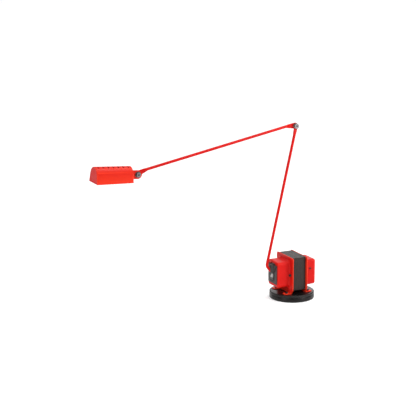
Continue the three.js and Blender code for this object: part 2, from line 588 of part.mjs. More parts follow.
function makeBulb() {
  const { radius, z, rear, tip: end, pinY, pin } = bulb;
  const socketRear = shade.rear - shade.cap - socket.setBack;
  const socketFront = rear + socket.overlap;
  const pinHoles = (body, r) => [-pinY, pinY].reduce(
    (left, y) => left.subtract(rod('x', [y, z], r, rear - 9, socketRear - 4, 10)), body);
  const wide = socket.halfY;
  const front = rectangle(-wide, z - socket.halfZ, wide, z + socket.halfZ, 2);
  const block = extrude(front, 'x', socketFront, socketRear, 0, 3);
  addMesh('lamp_socket', pinHoles(block, pin + gap), 'ceramic', headGroup);
  const shelfTop = shelf.low + shelf.thick;
  const plateFront = socketRear + gap;
  const ledgeEnd = shade.rear - shade.cap - gap;
  const plate = box(plateFront, -wide, z - shelf.drop, plateFront + shelf.thick, wide, shelfTop);
  const ledge = box(plateFront, -wide, shelf.low, ledgeEnd, wide, shelfTop);
  addMesh('socket_bracket', plate.add(ledge), 'steel', headGroup);
  const dome = arcPoints(0, 0, radius, 0, 90, 4).map(([r, up]) => [r, rear - end - radius + up]);
  const profile = [[0, 0], [3.2, 0], [4.2, 3], [radius, 6], ...dome];
  profile[profile.length - 1][0] = 0;
  const glass = new THREE.LatheGeometry(profile.map(([r, up]) => new THREE.Vector2(r, up)), 20);
  glass.rotateZ(Math.PI / 2).translate(rear, 0, z);
  addMesh('bulb_capsule', pinHoles(solid(glass), pin + gap), 'glass', headGroup);
  [[-pinY, 'front'], [pinY, 'back']].forEach(([y, side]) => {
    addMesh(`bulb_pin_${side}`, rod('x', [y, z], pin, rear - 3, socketRear - 5, 10), 'steel', headGroup);
  });
}

function makeHeadBracket() {
  const { inner, outer, hole } = knuckle;
  const { radius, boss, bossDepth } = ear;
  const back = shade.rear + gap;
  const bossEnd = back + bossDepth;
  const plate = link({ x: 0, y: 0, r: radius }, { x: 0, y: back + radius, r: radius });
  let body = extrude(plate, 'y', -outer, -inner);
  body = body.subtract(box(back - 20, -9, -20, back, 9, 20));
  body = body.add(extrude(rectangle(-radius, back, radius, bossEnd), 'y', -outer, -inner));
  body = body.add(rod('x', [0, 0], boss, back, bossEnd));
  body = body.subtract(rod('y', [0, 0], hole, -9, 9, 12));
  const rivetHole = rod('x', [0, 0], hole, back - 9, bossEnd + 9, 12);
  body = body.subtract(rivetHole.subtract(rod('y', [0, 0], -bossEnd - 0.6, -outer, -inner)));
  addMesh('head_bracket', body, 'paint', headGroup);
  const seat = shade.rear - shade.cap - gap;
  let pin = rod('x', [0, 0], rivet.shank, seat - 0.1, bossEnd, 12);
  pin = pin.add(rod('x', [0, 0], rivet.head, seat - rivet.headDepth, seat, 20));
  addMesh('swivel_rivet', pin, 'steel', headGroup);
}

makeDisc();
makeCore();
makeCoil();
makeCoreBolts();
makeSwitchCover();
makeRearCover();
makeFootScrews();
makePanel();
makeSwitch();
makeTurret();
makePivotBracket();
makeLowerArm();
makeUpperArm();
makeFrictionJoint('elbow', 5.75, 6.2, 'steel', upperGroup);
makeFrictionJoint('head', 5.2, 6.75, 'blackSteel', headGroup);
makeShade();
makeReflector();
makeBulb();
makeHeadBracket();

export default group;
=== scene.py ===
"""A red architect desk lamp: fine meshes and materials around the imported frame."""
import json
import math
import random

import bmesh
import bpy
from mathutils import Matrix, Vector


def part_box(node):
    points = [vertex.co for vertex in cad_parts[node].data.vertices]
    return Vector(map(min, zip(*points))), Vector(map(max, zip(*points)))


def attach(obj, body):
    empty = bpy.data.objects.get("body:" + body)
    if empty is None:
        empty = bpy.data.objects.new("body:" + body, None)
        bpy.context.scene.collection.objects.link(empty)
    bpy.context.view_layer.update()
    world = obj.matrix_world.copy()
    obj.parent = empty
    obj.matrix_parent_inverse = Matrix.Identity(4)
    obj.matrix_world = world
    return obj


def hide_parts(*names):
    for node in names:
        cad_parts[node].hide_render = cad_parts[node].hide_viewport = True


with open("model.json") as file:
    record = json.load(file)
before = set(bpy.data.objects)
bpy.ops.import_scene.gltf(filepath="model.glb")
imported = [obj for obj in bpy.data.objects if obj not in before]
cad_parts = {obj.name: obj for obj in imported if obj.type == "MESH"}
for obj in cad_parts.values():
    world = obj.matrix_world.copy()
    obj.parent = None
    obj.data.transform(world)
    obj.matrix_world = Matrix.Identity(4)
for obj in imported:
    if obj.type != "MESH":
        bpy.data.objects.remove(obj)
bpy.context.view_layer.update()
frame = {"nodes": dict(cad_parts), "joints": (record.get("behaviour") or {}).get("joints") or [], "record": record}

MM = 0.001
GAP = 0.3 * MM
RNG = random.Random(7)

# ---- places that the frame gives ----
JOINTS = {joint["name"]: joint for joint in frame["joints"]}
PIVOT = Vector(JOINTS["lower_arm_tilt"]["pos_m"])
ELBOW = Vector(JOINTS["elbow_fold"]["pos_m"])
HEAD = Vector(JOINTS["head_tilt"]["pos_m"])
TURRET_X = JOINTS["turret_pan"]["pos_m"][0]

# ---- sizes that the frame doesn't give ----
TUBE = 3.25 * MM
LEAN = math.radians(12.83)
HOOK_BEND = math.radians(60)
HOOK_RADIUS = 13 * MM
HOOK_TAIL = 8 * MM
LOWER_OFFSET = 2.4 * MM
UPPER_OFFSET = 5 * MM
LOBE, LOBE_TAPER = 7.4 * MM, 25 * MM
TIP, TIP_TAPER = 4.9 * MM, 22.5 * MM
SHADE_WALL = 1 * MM
SHEET = 1.5 * MM

CAMERA = {"azimuth": -26.224, "elevation": 13.703, "distance": 3.5, "lens": 134.33}
CAMERA_TARGET = Vector((-0.2192, 0, 0.2378))


# ---- mesh helpers ----
def place(x_axis, origin):
    """The matrix of a frame turned about Y: its own X runs along x_axis."""
    x = x_axis.normalized()
    y = Vector((0, 1, 0))
    turn = Matrix((x, y, x.cross(y))).transposed().to_4x4()
    return Matrix.Translation(origin) @ turn


UPPER = place(ELBOW - HEAD, ELBOW)
SHADE = place(-Vector(JOINTS["shade_roll"]["axis"]), HEAD)
QUARTER = math.pi / 2
ALONG = {
    "X": Matrix.Rotation(QUARTER, 4, "Y"),
    "Y": Matrix.Rotation(-QUARTER, 4, "X"),
    "Z": Matrix(),
}


def shade_smooth(piece, angle):
    piece.data.shade_smooth()
    piece.data.set_sharp_from_angle(angle=math.radians(angle))


def make(name, points, faces, matrix=None, smooth=38):
    mesh = bpy.data.meshes.new(name)
    mesh.from_pydata([tuple(p) for p in points], [], faces)
    if matrix is not None:
        mesh.transform(matrix)
    build = bmesh.new()
    build.from_mesh(mesh)
    bmesh.ops.remove_doubles(build, verts=build.verts, dist=1e-7)
    bmesh.ops.recalc_face_normals(build, faces=build.faces)
    build.to_mesh(mesh)
    build.free()
    piece = bpy.data.objects.new(name, mesh)
    bpy.context.scene.collection.objects.link(piece)
    shade_smooth(piece, smooth)
    return piece


def loft(name, rings, matrix=None, closed=False, caps=True, smooth=38):
    """Skins a row of rings that all have the same number of points."""
    count = len(rings[0])
    points = [p for ring in rings for p in ring]
    faces = []
    for i in range(len(rings) if closed else len(rings) - 1):
        a, b = i * count, (i + 1) % len(rings) * count
        for k in range(count):
            after = (k + 1) % count
            faces.append((a + k, a + after, b + after, b + k))
    if caps and not closed:
        faces.append(tuple(reversed(range(count))))
        faces.append(tuple(range(len(points) - count, len(points))))
    return make(name, points, faces, matrix, smooth)


def revolve(name, profile, axis, centre, segments=64, smooth=38):
    """Turns (radius, height) points about an axis. A profile that ends where it starts is a ring."""
    turns = [2 * math.pi * k / segments for k in range(segments)]
    closed = profile[0] == profile[-1]
    used = profile[:-1] if closed else profile
    rings = [[(r * math.cos(t), r * math.sin(t), h) for t in turns] for r, h in used]
    matrix = Matrix.Translation(centre) @ ALONG[axis]
    return loft(name, rings, matrix, closed=closed, caps=False, smooth=smooth)


def arc(cx, cy, radius, start, end, steps):
    turns = [math.radians(start + (end - start) * k / steps) for k in range(steps + 1)]
    return [(cx + radius * math.cos(t), cy + radius * math.sin(t)) for t in turns]


def rounded(u0, v0, u1, v1, r, steps=8):
    """A rectangle with round corners, which always has the same number of points."""
    points = arc(u1 - r, v0 + r, r, -90, 0, steps) + arc(u1 - r, v1 - r, r, 0, 90, steps)
    return points + arc(u0 + r, v1 - r, r, 90, 180, steps) + arc(u0 + r, v0 + r, r, 180, 270, steps)


def slab(name, outline, axis, low, high, matrix=None):
    """An outline pushed along an axis. Across X it is (Y, Z), across Y (X, Z), across Z (X, Y)."""
    def point(u, v, w):
        return {"X": (w, u, v), "Y": (u, w, v), "Z": (u, v, w)}[axis]
    rings = [[point(u, v, w) for u, v in outline] for w in (low, high)]
    return loft(name, rings, matrix)


def baked(piece):
    """Applies the piece's modifiers."""
    bpy.context.view_layer.update()
    graph = bpy.context.evaluated_depsgraph_get()
    mesh = bpy.data.meshes.new_from_object(piece.evaluated_get(graph))
    piece.modifiers.clear()
    piece.data = mesh
    return piece


def cut(piece, cutter, smooth=38):
    knife = piece.modifiers.new("cut", "BOOLEAN")
    knife.operation = "DIFFERENCE"
    knife.solver = "EXACT"
    knife.object = cutter
    baked(piece)
    bpy.data.objects.remove(cutter)
    shade_smooth(piece, smooth)
    return piece


def soften(piece, width, segments=3, angle=38):
    """Rounds the piece's edges."""
    piece.data.shade_smooth()
    edges = piece.modifiers.new("edges", "BEVEL")
    edges.width = width
    edges.segments = segments
    edges.limit_method = "ANGLE"
    edges.angle_limit = math.radians(angle)
    edges.harden_normals = True
    return piece


def refined(node, width, segments=3, angle=38):
    """A copy of a CAD node with whole flat faces and rounded edges."""
    build = bmesh.new()
    build.from_mesh(frame["nodes"][node].data)
    bmesh.ops.remove_doubles(build, verts=build.verts, dist=1e-7)
    bmesh.ops.dissolve_limit(build, angle_limit=math.radians(1), verts=build.verts, edges=build.edges)
    mesh = bpy.data.meshes.new(node + "_fine")
    build.to_mesh(mesh)
    build.free()
    piece = bpy.data.objects.new(node + "_fine", mesh)
    bpy.context.scene.collection.objects.link(piece)
    return soften(piece, width, segments, angle)


def finish(piece, node, *more):
    """Gives the piece the body, slot and material of the CAD node that it stands for."""
    look = SLOT_OF[node]
    piece.data.materials.clear()
    piece.data.materials.append(MATERIALS[look])
    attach(piece, BODY_OF[node])
    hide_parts(node, *more)
    return piece


RECORD = frame["record"]
SLOT_OF = {part["node"]: part["material_slot"] for part in RECORD["subparts"]}
BODY_OF = {node: body for body, nodes in RECORD["behaviour"]["bodies"].items() for node in nodes}


# ---- materials ----
class Look:
    """A principled material whose nodes are added step by step, in the object's own coordinates."""

    def __init__(self, name, roughness, metallic=0.0, **constants):
        self.material = bpy.data.materials.new(name)
        self.material.use_nodes = True
        self.tree = self.material.node_tree
        self.shader = self.tree.nodes["Principled BSDF"]
        self.coordinates = self.add("ShaderNodeTexCoord").outputs["Object"]
        self.normal = None
        self.shader.inputs["Roughness"].default_value = roughness
        self.shader.inputs["Metallic"].default_value = metallic
        for socket, value in constants.items():
            self.shader.inputs[socket.replace("_", " ")].default_value = value

    def add(self, kind, **settings):
        node = self.tree.nodes.new(kind)
        for key, value in settings.items():
            setattr(node, key, value)
        return node

    def link(self, source, target):
        self.tree.links.new(source, target)

    def stretched(self, scale):
        mapping = self.add("ShaderNodeMapping")
        mapping.inputs["Scale"].default_value = scale
        self.link(self.coordinates, mapping.inputs["Vector"])
        return mapping.outputs["Vector"]

    def noise(self, scale, detail=3.0, stretch=None):
        node = self.add("ShaderNodeTexNoise")
        node.inputs["Scale"].default_value = scale
        node.inputs["Detail"].default_value = detail
        self.link(self.stretched(stretch) if stretch else self.coordinates, node.inputs["Vector"])
        return node.outputs["Fac"]

    def bands(self, axis, scale, distortion=0.0):
        node = self.add("ShaderNodeTexWave", wave_type="BANDS", bands_direction=axis)
        node.inputs["Scale"].default_value = scale
        node.inputs["Distortion"].default_value = distortion
        self.link(self.coordinates, node.inputs["Vector"])
        return node.outputs["Fac"]

    def cells(self, scale):
        node = self.add("ShaderNodeTexVoronoi", feature="SMOOTH_F1")
        node.inputs["Scale"].default_value = scale
        self.link(self.coordinates, node.inputs["Vector"])
        return node.outputs["Distance"]

    def spread(self, source, low, high, start=0.3, end=0.7):
        node = self.add("ShaderNodeMapRange")
        node.inputs["From Min"].default_value = start
        node.inputs["From Max"].default_value = end
        node.inputs["To Min"].default_value = low
        node.inputs["To Max"].default_value = high
        self.link(source, node.inputs["Value"])
        return node.outputs["Result"]

    def mixed(self, factor, first, second):
        node = self.add("ShaderNodeMix", data_type="RGBA")
        self.link(factor, node.inputs["Factor"])
        for socket, colour in (("A", first), ("B", second)):
            target = next(s for s in node.inputs if s.name == socket and s.type == "RGBA")
            if isinstance(colour, tuple):
                target.default_value = (*colour, 1)
            else:
                self.link(colour, target)
        return next(s for s in node.outputs if s.type == "RGBA")

    def edges(self):
        """Where the surface is convex, from 0 to 1."""
        return self.spread(self.add("ShaderNodeNewGeometry").outputs["Pointiness"], 0, 1, 0.515, 0.58)

    def hollows(self):
        """Where the surface is concave, from 0 to 1."""
        return self.spread(self.add("ShaderNodeNewGeometry").outputs["Pointiness"], 1, 0, 0.42, 0.495)

    def bump(self, height, depth, strength=1.0):
        node = self.add("ShaderNodeBump")
        node.inputs["Strength"].default_value = strength
        node.inputs["Distance"].default_value = depth
        self.link(height, node.inputs["Height"])
        if self.normal is not None:
            self.link(self.normal, node.inputs["Normal"])
        self.normal = node.outputs["Normal"]
        self.link(self.normal, self.shader.inputs["Normal"])

    def colour(self, source):
        self.link(source, self.shader.inputs["Base Color"])

    def roughness(self, source):
        self.link(source, self.shader.inputs["Roughness"])


def red_paint():
    """Stove enamel: a faint orange peel, small tone drifts, and a painted highlight on convex edges."""
    look = Look("red_enamel", 0.36, Specular_IOR_Level=0.11)
    drift = look.spread(look.noise(24, 2), 0, 1)
    tone = look.mixed(drift, (0.56, 0.006, 0.004), (0.51, 0.005, 0.004))
    # painted highlight: convex edges are painted a lighter orange red
    look.colour(look.mixed(look.edges(), tone, (0.80, 0.040, 0.014)))
    look.roughness(look.spread(look.noise(260, 4), 0.30, 0.42))
    look.bump(look.noise(850, 2), 0.00004)
    look.bump(look.noise(90, 2), 0.00006)
    return look.material


def black_iron():
    """Gloss black enamel over a cast surface, dulled by a little dust."""
    look = Look("black_enamel_on_iron", 0.26, Specular_IOR_Level=0.25)
    dust = look.spread(look.noise(38, 5), 0, 1, 0.5, 0.8)
    look.colour(look.mixed(dust, (0.005, 0.004, 0.004), (0.014, 0.012, 0.011)))
    look.roughness(look.spread(look.noise(120, 5), 0.2, 0.42))
    look.bump(look.noise(420, 3), 0.00008)
    look.bump(look.noise(70, 2), 0.00015)
    return look.material


def pad_rubber():
    look = Look("soft_black_rubber", 0.8, Specular_IOR_Level=0.3)
    look.colour(look.mixed(look.noise(180, 5), (0.012, 0.012, 0.012), (0.03, 0.029, 0.028)))
    look.roughness(look.spread(look.noise(300, 4), 0.7, 0.9))
    look.bump(look.noise(1500, 3), 0.00006)
    return look.material


def core_steel():
    """Varnished sheet edges: each lamination takes the varnish a little differently."""
    look = Look("varnished_laminations", 0.42, 0.2, Specular_IOR_Level=0.3)
    sheets = look.noise(1, 2, (1100, 14, 14))
    blotch = look.spread(look.noise(55, 5), 0, 1)
    shade = look.spread(sheets, 0, 1, 0.35, 0.65)
    tone = look.mixed(shade, (0.022, 0.016, 0.013), (0.040, 0.031, 0.027))
    look.colour(look.mixed(blotch, tone, (0.030, 0.023, 0.020)))
    look.roughness(look.spread(sheets, 0.34, 0.56))
    look.bump(sheets, 0.00006)
    look.bump(look.noise(500, 3), 0.00003)
    return look.material


def bobbin_nylon():
    look = Look("natural_nylon", 0.5, Subsurface_Weight=0.1)
    look.colour(look.mixed(look.noise(60, 3), (0.66, 0.61, 0.50), (0.58, 0.53, 0.43)))
    look.roughness(look.spread(look.noise(300, 3), 0.42, 0.6))
    look.bump(look.noise(700, 2), 0.00003)
    return look.material


def winding_copper():
    """Close turns of enamelled wire."""
    look = Look("enamelled_copper_wire", 0.3, 1.0, Coat_Weight=0.5, Coat_Roughness=0.15)
    look.colour(look.mixed(look.noise(90, 4), (0.50, 0.17, 0.06), (0.36, 0.10, 0.035)))
    look.roughness(look.spread(look.noise(200, 3), 0.25, 0.4))
    look.bump(look.bands("Y", 620), 0.0002)
    return look.material


def black_plastic():
    """Moulded plastic with a fine spark-eroded grain."""
    look = Look("moulded_black_plastic", 0.45, Specular_IOR_Level=0.4)
    look.colour(look.mixed(look.noise(45, 4), (0.024, 0.019, 0.018), (0.034, 0.028, 0.026)))
    look.roughness(look.spread(look.noise(350, 3), 0.38, 0.55))
    look.bump(look.noise(2600, 2), 0.00003)
    return look.material


def rocker_plastic():
    """Painted light and shade: the upper half is painted pale as if lit, and the lower half dark as if shaded."""
    look = Look("rocker_two_tone_plastic", 0.3, Specular_IOR_Level=0.45)
    height = look.add("ShaderNodeSeparateXYZ")
    look.link(look.coordinates, height.inputs["Vector"])
    middle, blur = JOINTS["switch_rocks"]["pos_m"][2], 0.05 * MM
    # painted light and shade: pale above the axle's height, dark below it
    painted_lit_half = look.spread(height.outputs["Z"], 0, 1, middle - blur, middle + blur)
    painted_lit_grey = look.mixed(look.noise(70, 3), (0.40, 0.38, 0.37), (0.34, 0.32, 0.31))
    look.colour(look.mixed(painted_lit_half, (0.045, 0.04, 0.038), painted_lit_grey))
    look.roughness(look.spread(look.noise(320, 3), 0.24, 0.38))
    look.bump(look.noise(1800, 2), 0.00002)
    return look.material


def terminal_brass():
    look = Look("plain_brass", 0.3, 1.0)
    look.colour(look.mixed(look.noise(120, 4), (0.56, 0.41, 0.15), (0.45, 0.30, 0.10)))
    look.roughness(look.spread(look.noise(240, 3), 0.22, 0.4))
    look.bump(look.noise(900, 2), 0.00002)
    return look.material


def washer_fibre():
    look = Look("pressed_fibre", 0.75)
    look.colour(look.mixed(look.noise(800, 5), (0.05, 0.034, 0.024), (0.10, 0.07, 0.05)))
    look.roughness(look.spread(look.noise(500, 4), 0.65, 0.85))
    look.bump(look.noise(1600, 4), 0.00008)
    return look.material


def reflector_aluminium():
    """Bright aluminium with a fine hammered texture that spreads the light."""
    look = Look("hammered_aluminium", 0.16, 1.0)
    look.colour(look.mixed(look.noise(60, 3), (0.86, 0.86, 0.87), (0.78, 0.78, 0.80)))
    look.roughness(look.spread(look.noise(200, 3), 0.1, 0.22))
    look.bump(look.cells(420), 0.0004)
    return look.material


def socket_ceramic():
    look = Look("unglazed_ceramic", 0.65)
    look.colour(look.mixed(look.noise(260, 5), (0.74, 0.70, 0.62), (0.66, 0.61, 0.53)))
    look.roughness(look.spread(look.noise(400, 4), 0.55, 0.75))
    look.bump(look.noise(1200, 4), 0.00006)
    return look.material


def bulb_glass():
    look = Look("quartz_glass", 0.02, Transmission_Weight=1.0, IOR=1.46)
    look.colour(look.mixed(look.noise(40, 2), (1.0, 1.0, 1.0), (0.97, 0.985, 0.99)))
    look.roughness(look.spread(look.noise(150, 3), 0.0, 0.04))
    look.bump(look.noise(220, 2), 0.00003)
    return look.material


def fastener_steel():
    """Dull zinc plating with turning marks, a warm cast in places, and painted shade in the recesses."""
    look = Look("zinc_plated_steel", 0.32, 1.0)
    stain = look.spread(look.noise(140, 5), 0, 1, 0.45, 0.75)
    bare = look.mixed(stain, (0.20, 0.195, 0.20), (0.14, 0.13, 0.125))
    # painted shade: concave places such as the socket floor are painted near black
    look.colour(look.mixed(look.hollows(), bare, (0.02, 0.018, 0.017)))
    look.roughness(look.spread(look.noise(480, 4), 0.42, 0.60))
    look.bump(look.noise(1, 3, (900, 3000, 900)), 0.00002)
    return look.material


def black_steel():
    """Blackened steel: an uneven oxide skin, with a painted highlight on convex edges."""
    look = Look("blackened_steel", 0.42, 0.8, Specular_IOR_Level=0.4)
    oxide = look.mixed(look.noise(160, 4), (0.030, 0.026, 0.025), (0.048, 0.042, 0.040))
    # painted highlight: convex edges are painted a lighter grey
    look.colour(look.mixed(look.edges(), oxide, (0.11, 0.10, 0.097)))
    look.roughness(look.spread(look.noise(420, 4), 0.34, 0.52))
    look.bump(look.noise(1100, 3), 0.00002)
    return look.material


def tungsten():
    look = Look("tungsten_wire", 0.45, 1.0)
    look.colour(look.mixed(look.noise(900, 3), (0.22, 0.21, 0.21), (0.14, 0.13, 0.13)))
    look.roughness(look.spread(look.noise(900, 3), 0.35, 0.55))
    return look.material


MAKERS = [
    red_paint, black_iron, pad_rubber, core_steel, bobbin_nylon, winding_copper, black_plastic,
    rocker_plastic, terminal_brass, washer_fibre, reflector_aluminium, socket_ceramic, bulb_glass,
    fastener_steel, black_steel,
]
MATERIALS = {maker.__name__: maker() for maker in MAKERS}


# ---- base ----
def base_disc():
    low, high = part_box("base_disc")
    radius, edge, lip = high.x, 2.6 * MM, 0.8 * MM
    floor = low.z + 0.9 * MM
    recess = 50.3 * MM
    profile = [(0, floor), (recess, floor), (recess, low.z)]
    profile += [(radius - lip, low.z), (radius, low.z + lip)]
    # a shallow turned line under the top edge
    line, line_half, line_depth = high.z - 5 * MM, 0.5 * MM, 0.35 * MM
    profile += [(radius, line - line_half), (radius - line_depth, line), (radius, line + line_half)]
    profile += arc(radius - edge, high.z - edge, edge, 0, 90, 10) + [(0, high.z)]
    finish(revolve("disc", profile, "Z", (0, 0, 0), 160), "base_disc")


def base_pad():
    low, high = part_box("base_pad")
    soft = 0.4 * MM
    profile = [(0, low.z)] + arc(high.x - soft, low.z + soft, soft, -90, 0, 4)
    profile += arc(high.x - soft, high.z - soft, soft, 0, 90, 4) + [(0, high.z)]
    # concentric ribs on the underside
    pitch, groove = 5 * MM, 0.25 * MM
    ribs = [(k * pitch, groove if k % 2 else 0) for k in range(1, 9)]
    profile = [(0, low.z)] + [(r, low.z + rise) for r, rise in ribs] + profile[1:]
    finish(revolve("pad", profile, "Z", (0, 0, 0), 128), "base_pad")


# ---- transformer ----
def inset(outline, depth):
    """Moves the sides of an outline with square corners inwards."""
    moved = []
    for i, (u, v) in enumerate(outline):
        (pu, pv), (nu, nv) = outline[i - 1], outline[(i + 1) % len(outline)]
        before = Vector((u - pu, v - pv)).normalized()
        after = Vector((nu - u, nv - v)).normalized()
        moved.append((u - depth * (before.y + after.y), v + depth * (before.x + after.x)))
    return moved


def laminated(name, outline, low, high, pitch=1 * MM):
    """A stack of thin sheets along X, each set in a touch more or less than the next."""
    rings = []
    groove, most_set_in = 0.14 * MM, 0.06
    for k in range(round((high - low) / pitch)):
        depth = RNG.uniform(0, most_set_in) * MM
        start = low + k * pitch
        for offset, extra in ((0.12, 0), (0.88, 0), (1, groove)):
            rings.append([(start + offset * pitch, u, v) for u, v in inset(outline, depth + extra)])
    rings.pop()
    return loft(name, rings, smooth=25)


def core_stacks():
    low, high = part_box("core_e_stack")
    i_low, i_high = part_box("core_i_stack")
    middle = (low.z + high.z) / 2
    leg, window = 13 * MM, 26 * MM
    root = high.y - leg
    points = [(low.y, -window), (root, -window), (root, -leg), (low.y, -leg), (low.y, leg)]
    points += [(root, leg), (root, window), (low.y, window)]
    outline = [(low.y, low.z), (high.y, low.z), (high.y, high.z), (low.y, high.z)]
    outline[4:] = [(u, v + middle) for u, v in reversed(points)]
    finish(laminated("e_stack", outline, low.x, high.x), "core_e_stack")
    bar = [(i_low.y, i_low.z), (i_high.y, i_low.z), (i_high.y, i_high.z), (i_low.y, i_high.z)]
    finish(laminated("i_stack", bar, i_low.x, i_high.x), "core_i_stack")


# ---- covers ----
FLANGE = {"corner": 4.5 * MM, "cut": 10.5 * MM, "foot": 33 * MM}
FOOT_INNER = 18.5 * MM
FILLET = 5 * MM
BOX_HALF = 24 * MM
BOX_CORNER = 6 * MM
BOXES = {
    "switch_cover": {"low": 32.5 * MM, "high": 93.2 * MM, "edge": 3 * MM},
    "rear_cover": {"low": 30.8 * MM, "high": 92 * MM, "edge": 5.4 * MM},
}


def flange_outline(low, high, steps=8):
    """Round top corners, and bottom corners cut off towards the feet."""
    corner, cut_height, half = FLANGE["corner"], FLANGE["cut"], high.y

    def chamfer(start, end):
        return [tuple(Vector(start).lerp(Vector(end), k / steps)) for k in range(steps + 1)]

    right = chamfer((FLANGE["foot"], low.z), (half, low.z + cut_height))
    left = chamfer((-half, low.z + cut_height), (-FLANGE["foot"], low.z))
    top = arc(half - corner, high.z - corner, corner, 0, 90, steps)
    return right + top + arc(corner - half, high.z - corner, corner, 90, 180, steps) + left


def cover(node):
    """One folded sheet: a flange against the core, a fillet, and a box over the coil."""
    size = BOXES[node]
    low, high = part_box(node)
    side = 1 if high.x > 0 else -1
    near, far = sorted((abs(low.x), abs(high.x)))
    face = near + SHEET
    outline = flange_outline(low, high)

    def box_ring(x, grow):
        round_corner = max(BOX_CORNER + grow, 0.4 * MM)
        half = BOX_HALF + grow
        ring = rounded(-half, size["low"] - grow, half, size["high"] + grow, round_corner)
        return [(side * x, u, v) for u, v in ring]

    def flange_ring(x, shrink=0.0):
        upper_part = low.z + 30 * MM
        return [(side * x, u - math.copysign(shrink, u), v - shrink * (1 if v > upper_part else -1))
                for u, v in outline]

    quarter = [math.radians(90 * k / 6) for k in range(7)]
    outer_turn = FILLET + SHEET
    inside, edge = max(size["edge"] - SHEET, 0.5 * MM), size["edge"]
    rings = [box_ring(far - SHEET - inside * (1 - math.cos(t)), -SHEET - inside * (1 - math.sin(t)))
             for t in quarter]
    rings += [box_ring(face + FILLET - outer_turn * math.cos(t), FILLET - outer_turn * math.sin(t))
              for t in reversed(quarter)]
    rings += [flange_ring(near), flange_ring(face - 0.3 * MM), flange_ring(face, 0.3 * MM)]
    rings += [box_ring(face + FILLET * (1 - math.cos(t)), FILLET * (1 - math.sin(t))) for t in quarter]
    rings += [box_ring(far - edge * (1 - math.sin(t)), -edge * (1 - math.cos(t))) for t in quarter]
    return loft(node + "_sheet", rings, smooth=30), side, face


def pocket(piece, side, face, bolt):
    """The round recess that a core bolt's head or nut sits in."""
    low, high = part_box(bolt)
    centre = (low + high) / 2
    radius, start = 3.9 * MM, side * (face + 0.9 * MM)
    end = side * (face + 0.9 * MM + 12 * MM)
    profile = [(0, start), (radius, start), (radius, end), (0, end)]
    return cut(piece, revolve("cutter", profile, "X", (0, centre.y, centre.z), 40), 30)


def foot(node, side, end):
    """A tab that bends out of the flange onto the disc, with round corners."""
    low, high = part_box(node)
    thick, turn, corner = 1.4 * MM, 2 * MM, 5 * MM
    middle, base = min(abs(low.x), abs(high.x)) + SHEET / 2, low.z + SHEET / 2
    reach = 36.5 * MM
    path = [(middle, base + 5 * MM, 1, 0)]
    for t in [math.radians(15 * k) for k in range(7)]:
        nx, nz = math.cos(t), math.sin(t)
        path.append((middle + turn * (1 - nx), base + turn * (1 - nz), nx, nz))
    for t in [math.radians(a) for a in range(0, 90, 10)]:
        path.append((reach - corner + corner * math.sin(t), base, 0, 1))
    ys = sorted((end * FOOT_INNER, end * FLANGE["foot"]))
    rings = []
    for x, z, nx, nz in path:
        over = max(0.0, x - (reach - corner))
        trim = corner - math.sqrt(max(corner * corner - over * over, 0))
        ring = []
        for y, way in ((ys[0] + trim, -1), (ys[0] + trim, 1), (ys[1] - trim, 1), (ys[1] - trim, -1)):
            ring.append((side * (x + way * nx * thick / 2), y, z + way * nz * thick / 2))
        rings.append(ring)
    return loft("foot", rings, smooth=30)


def join(name, pieces):
    """Makes one object of several."""
    build = bmesh.new()
    for piece in pieces:
        build.from_mesh(piece.data)
        bpy.data.objects.remove(piece)
    mesh = bpy.data.meshes.new(name)
    build.to_mesh(mesh)
    build.free()
    piece = bpy.data.objects.new(name, mesh)
    bpy.context.scene.collection.objects.link(piece)
    return piece


def folded_cover(node, bolts):
    piece, side, face = cover(node)
    for bolt in bolts:
        piece = pocket(piece, side, face, bolt)
    if node == "switch_cover":
        turret_low, turret_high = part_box("swivel_turret")
        half, corner = turret_high.y + 0.4 * MM, 1.2 * MM
        bottom, top = turret_low.z - 2.1 * MM, turret_high.z + 2.4 * MM
        outline = rounded(-half, bottom, half, top, corner)
        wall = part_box(node)[0].x
        piece = cut(piece, slab("cutter", outline, "X", wall - MM, wall + 3 * MM), 30)
    else:
        piece = cut(piece, inlet_cutter(), 30)
    feet = [foot(node, side, end) for end in (-1, 1)]
    whole = join(node + "_fine", [piece, *feet])
    shade_smooth(whole, 30)
    finish(whole, node)


def inlet_cutter():
    low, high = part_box("cord_grommet")
    centre = (low + high) / 2
    radius, half = 5.2 * MM, 6 * MM
    profile = [(0, -half), (radius, -half), (radius, half), (0, half)]
    return revolve("cutter", profile, "X", centre, 40)


def cord_grommet():
    low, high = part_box("cord_grommet")
    centre = (low + high) / 2
    rim = (high.y - low.y) / 2
    neck, bore, wall, soft = 4.9 * MM, 3.6 * MM, 2.1 * MM, 0.6 * MM
    start, end = low.x, high.x
    wall_low = start + 1.7 * MM
    profile = [(bore, start + soft), (bore + soft, start), (rim - soft, start), (rim, start + soft)]
    profile += [(rim, wall_low), (neck, wall_low), (neck, wall_low + wall), (rim, wall_low + wall)]
    profile += [(rim - 0.2 * MM, wall_low + wall + soft), (rim - 1.4 * MM, end - 0.3 * MM)]
    profile += [(bore + 1.2 * MM, end), (bore + 0.3 * MM, end - 0.4 * MM)]
    profile += [(bore, end - 1.2 * MM), (bore, start + soft)]
    piece = revolve("grommet", profile, "X", (0, centre.y, centre.z), 64, smooth=50)
    finish(piece, "cord_grommet")


# ---- fasteners ----
BOLT_HOLE = 2.3 * MM


def hexagon_ring(radius, height, count, turn=0.0):
    """Points on a hexagon, at even angles."""
    ring = []
    for k in range(count):
        angle = 2 * math.pi * k / count
        part = (angle - turn) % (math.pi / 3) - math.pi / 6
        r = radius * math.cos(math.pi / 6) / math.cos(part)
        ring.append((r * math.cos(angle), r * math.sin(angle), height))
    return ring


def round_ring(radius, height, count):
    turns = [2 * math.pi * k / count for k in range(count)]
    return [(radius * math.cos(t), radius * math.sin(t), height) for t in turns]


